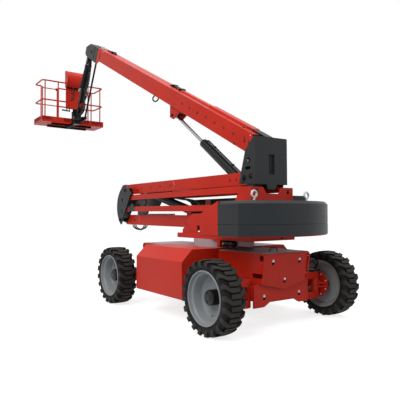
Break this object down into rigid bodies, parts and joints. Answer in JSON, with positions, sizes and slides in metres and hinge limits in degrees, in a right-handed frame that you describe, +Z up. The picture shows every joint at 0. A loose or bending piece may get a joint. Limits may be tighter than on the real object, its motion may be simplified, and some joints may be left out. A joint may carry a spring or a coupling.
{
  "type": "articulating boom lift",
  "caption": "Self-propelled articulating boom lift with folded double riser, telescopic boom, jib and railed work platform on four wheels.",
  "frame": {"origin": "on the ground, at the middle of the overall length and width", "axes": "+X from the counterweight to the platform, +Y to the left of the machine, +Z up"},
  "size_m": [9.0696, 2.49, 5.8008],
  "materials": {
    "red_paint": "gloss",
    "grey_paint": "satin",
    "black_paint": "satin",
    "rim_paint": "satin",
    "tyre": "matt",
    "steel": "satin",
    "chrome": "polished",
    "iron": "matt"
  },
  "bodies": {
    "chassis": {"chassis_frame": "red_paint", "side_cover_left": "red_paint", "side_cover_right": "red_paint", "nose_covers": "red_paint", "nose_decks": "steel", "slew_ring": "steel", "steer_axle": "red_paint", "drive_axle": "red_paint", "axle_cover": "red_paint"},
    "steer_knuckle_left": {"steer_knuckle_left": "red_paint"},
    "steer_knuckle_right": {"steer_knuckle_right": "red_paint"},
    "tie_rod": {"tie_rod": "red_paint"},
    "turntable": {"turntable_frame": "red_paint", "counterweight": "grey_paint", "lifting_eyes": "steel", "side_panel": "red_paint", "hood": "grey_paint", "engine": "iron"},
    "hood_door": {"hood_door": "grey_paint"},
    "lower_riser": {"lower_riser": "red_paint"},
    "lower_link": {"lower_link": "red_paint"},
    "front_knuckle": {"front_knuckle": "grey_paint", "knuckle_casting": "black_paint"},
    "upper_riser": {"upper_riser": "red_paint"},
    "upper_link": {"upper_link": "red_paint"},
    "rear_bracket": {"rear_bracket": "grey_paint"},
    "riser_ram_barrel": {"riser_ram_barrel": "black_paint"},
    "riser_ram_rod": {"riser_ram_rod": "chrome"},
    "lift_ram_barrel": {"lift_ram_barrel": "black_paint"},
    "lift_ram_rod": {"lift_ram_rod": "chrome"},
    "main_boom": {"main_boom": "red_paint"},
    "inner_boom": {"inner_boom": "red_paint"},
    "jib_base": {"jib_base": "grey_paint"},
    "jib": {"jib": "black_paint"},
    "jib_link": {"jib_link": "black_paint"},
    "jib_ram_barrel": {"jib_ram_barrel": "black_paint"},
    "jib_ram_rod": {"jib_ram_rod": "chrome"},
    "platform_bracket": {"platform_bracket": "black_paint"},
    "platform": {"platform_support": "black_paint", "platform_floor": "red_paint", "platform_rails": "red_paint", "console": "red_paint"},
    "gate": {"gate": "red_paint"},
    "wheel_rear_left": {"tyre_rear_left": "tyre", "rim_rear_left": "rim_paint"},
    "wheel_rear_right": {"tyre_rear_right": "tyre", "rim_rear_right": "rim_paint"},
    "wheel_front_left": {"tyre_front_left": "tyre", "rim_front_left": "rim_paint"},
    "wheel_front_right": {"tyre_front_right": "tyre", "rim_front_right": "rim_paint"}
  },
  "joints": [
    {"name": "steer", "type": "hinge", "parent": "chassis", "child": "steer_knuckle_left", "pos_m": [-4.01976, 0.8, 0.482], "axis": [0, 0, 1], "range_deg": [-30, 30]},
    {"name": "steer_right", "type": "hinge", "parent": "chassis", "child": "steer_knuckle_right", "pos_m": [-4.01976, -0.8, 0.482], "axis": [0, 0, 1], "range_deg": [-30, 30]},
    {"name": "tie_rod_slide", "type": "slide", "parent": "chassis", "child": "tie_rod", "axis": [0, 1, 0], "range_m": [-0.0935, 0.0935]},
    {"name": "wheel_rear_left_spin", "type": "hinge", "parent": "steer_knuckle_left", "child": "wheel_rear_left", "pos_m": [-4.01976, 1.085, 0.482], "axis": [0, 1, 0], "continuous": true},
    {"name": "wheel_rear_right_spin", "type": "hinge", "parent": "steer_knuckle_right", "child": "wheel_rear_right", "pos_m": [-4.01976, -1.085, 0.482], "axis": [0, 1, 0], "continuous": true},
    {"name": "wheel_front_left_spin", "type": "hinge", "parent": "chassis", "child": "wheel_front_left", "pos_m": [-1.23976, 1.085, 0.482], "axis": [0, 1, 0], "continuous": true},
    {"name": "wheel_front_right_spin", "type": "hinge", "parent": "chassis", "child": "wheel_front_right", "pos_m": [-1.23976, -1.085, 0.482], "axis": [0, 1, 0], "continuous": true},
    {"name": "slew", "type": "hinge", "parent": "chassis", "child": "turntable", "pos_m": [-2.87976, 0, 1.15], "axis": [0, 0, 1], "continuous": true},
    {"name": "hood_door_hinge", "type": "hinge", "parent": "turntable", "child": "hood_door", "pos_m": [0, -0.86, 1.734], "axis": [-1, 0, 0], "range_deg": [0, 70]},
    {"name": "riser_lift", "type": "hinge", "parent": "turntable", "child": "lower_riser", "pos_m": [-3.47976, 0, 1.394], "axis": [0, -1, 0], "range_deg": [0, 65]},
    {"name": "lower_link_hinge", "type": "hinge", "parent": "turntable", "child": "lower_link", "pos_m": [-3.69476, 0, 1.616], "axis": [0, -1, 0], "range_deg": [0, 65]},
    {"name": "knuckle_hinge", "type": "hinge", "parent": "lower_riser", "child": "front_knuckle", "pos_m": [0.29515, 0, 1.42035], "axis": [0, -1, 0], "range_deg": [-65, 0]},
    {"name": "upper_riser_hinge", "type": "hinge", "parent": "front_knuckle", "child": "upper_riser", "pos_m": [0.08415, 0, 2.03235], "axis": [0, -1, 0], "range_deg": [-65, 0]},
    {"name": "upper_link_hinge", "type": "hinge", "parent": "front_knuckle", "child": "upper_link", "pos_m": [-0.05385, 0, 1.87435], "axis": [0, -1, 0], "range_deg": [-65, 0]},
    {"name": "bracket_hinge", "type": "hinge", "parent": "upper_riser", "child": "rear_bracket", "pos_m": [-3.71285, 0, 2.03898], "axis": [0, -1, 0], "range_deg": [0, 65]},
    {"name": "riser_ram_hinge", "type": "hinge", "parent": "lower_riser", "child": "riser_ram_barrel", "pos_m": [-2.07091, 0, 1.56384], "axis": [0, -1, 0], "range_deg": [0, 2.77]},
    {"name": "riser_ram_slide", "type": "slide", "parent": "riser_ram_barrel", "child": "riser_ram_rod", "axis": [0.9707, 0, 0.2402], "range_m": [0, 1.326]},
    {"name": "boom_luff", "type": "hinge", "parent": "rear_bracket", "child": "main_boom", "pos_m": [-3.86485, 0, 2.45098], "axis": [0, -1, 0], "range_deg": [-24, 47.5]},
    {"name": "lift_ram_hinge", "type": "hinge", "parent": "rear_bracket", "child": "lift_ram_barrel", "pos_m": [-3.49485, 0, 1.89798], "axis": [0, -1, 0], "range_deg": [-23.18, 45.39]},
    {"name": "lift_ram_slide", "type": "slide", "parent": "lift_ram_barrel", "child": "lift_ram_rod", "axis": [0.8096, 0, 0.587], "range_m": [-0.261, 0.507]},
    {"name": "boom_extend", "type": "slide", "parent": "main_boom", "child": "inner_boom", "axis": [0.887, 0, 0.4617], "range_m": [0, 3.9]},
    {"name": "level_hinge", "type": "hinge", "parent": "inner_boom", "child": "jib_base", "pos_m": [2.36976, 0, 5.57137], "axis": [0, -1, 0], "range_deg": [-47.5, 24]},
    {"name": "jib_luff", "type": "hinge", "parent": "jib_base", "child": "jib", "pos_m": [2.67976, 0, 5.60137], "axis": [0, -1, 0], "range_deg": [0, 130]},
    {"name": "jib_link_hinge", "type": "hinge", "parent": "jib_base", "child": "jib_link", "pos_m": [2.36976, 0, 5.57137], "axis": [0, -1, 0], "range_deg": [0, 130]},
    {"name": "platform_level_hinge", "type": "hinge", "parent": "jib", "child": "platform_bracket", "pos_m": [3.51976, 0, 4.14645], "axis": [0, -1, 0], "range_deg": [-130, 0]},
    {"name": "jib_ram_hinge", "type": "hinge", "parent": "jib_base", "child": "jib_ram_barrel", "pos_m": [2.67976, 0.095, 5.35137], "axis": [0, -1, 0], "range_deg": [0, 129.2]},
    {"name": "jib_ram_slide", "type": "slide", "parent": "jib_ram_barrel", "child": "jib_ram_rod", "axis": [0.6476, 0, -0.7619], "range_m": [0, 0.464]},
    {"name": "platform_rotate", "type": "hinge", "parent": "platform_bracket", "child": "platform", "pos_m": [3.68476, 0, 4.14645], "axis": [0, 0, 1], "range_deg": [-90, 90]},
    {"name": "gate_hinge", "type": "hinge", "parent": "platform", "child": "gate", "pos_m": [4.50876, 0.658, 4.23645], "axis": [0, 0, -1], "range_deg": [0, 90]}
  ],
  "couplings": [
    {"joint": "steer_right", "follows": "steer", "ratio": 1},
    {"joint": "tie_rod_slide", "follows": "steer", "m_per_rad": 0.17666},
    {"joint": "lower_link_hinge", "follows": "riser_lift", "ratio": 1},
    {"joint": "knuckle_hinge", "follows": "riser_lift", "ratio": -1},
    {"joint": "upper_riser_hinge", "follows": "riser_lift", "ratio": -1},
    {"joint": "upper_link_hinge", "follows": "riser_lift", "ratio": -1},
    {"joint": "bracket_hinge", "follows": "riser_lift", "ratio": 1},
    {"joint": "riser_ram_hinge", "follows": "riser_lift", "ratio": 0.035},
    {"joint": "riser_ram_slide", "follows": "riser_lift", "m_per_rad": 1.16},
    {"joint": "lift_ram_hinge", "follows": "boom_luff", "ratio": 0.945},
    {"joint": "lift_ram_slide", "follows": "boom_luff", "m_per_rad": 0.6},
    {"joint": "level_hinge", "follows": "boom_luff", "ratio": -1},
    {"joint": "jib_link_hinge", "follows": "jib_luff", "ratio": 1},
    {"joint": "platform_level_hinge", "follows": "jib_luff", "ratio": -1},
    {"joint": "jib_ram_hinge", "follows": "jib_luff", "ratio": 0.99},
    {"joint": "jib_ram_slide", "follows": "jib_luff", "m_per_rad": 0.2}
  ]
}
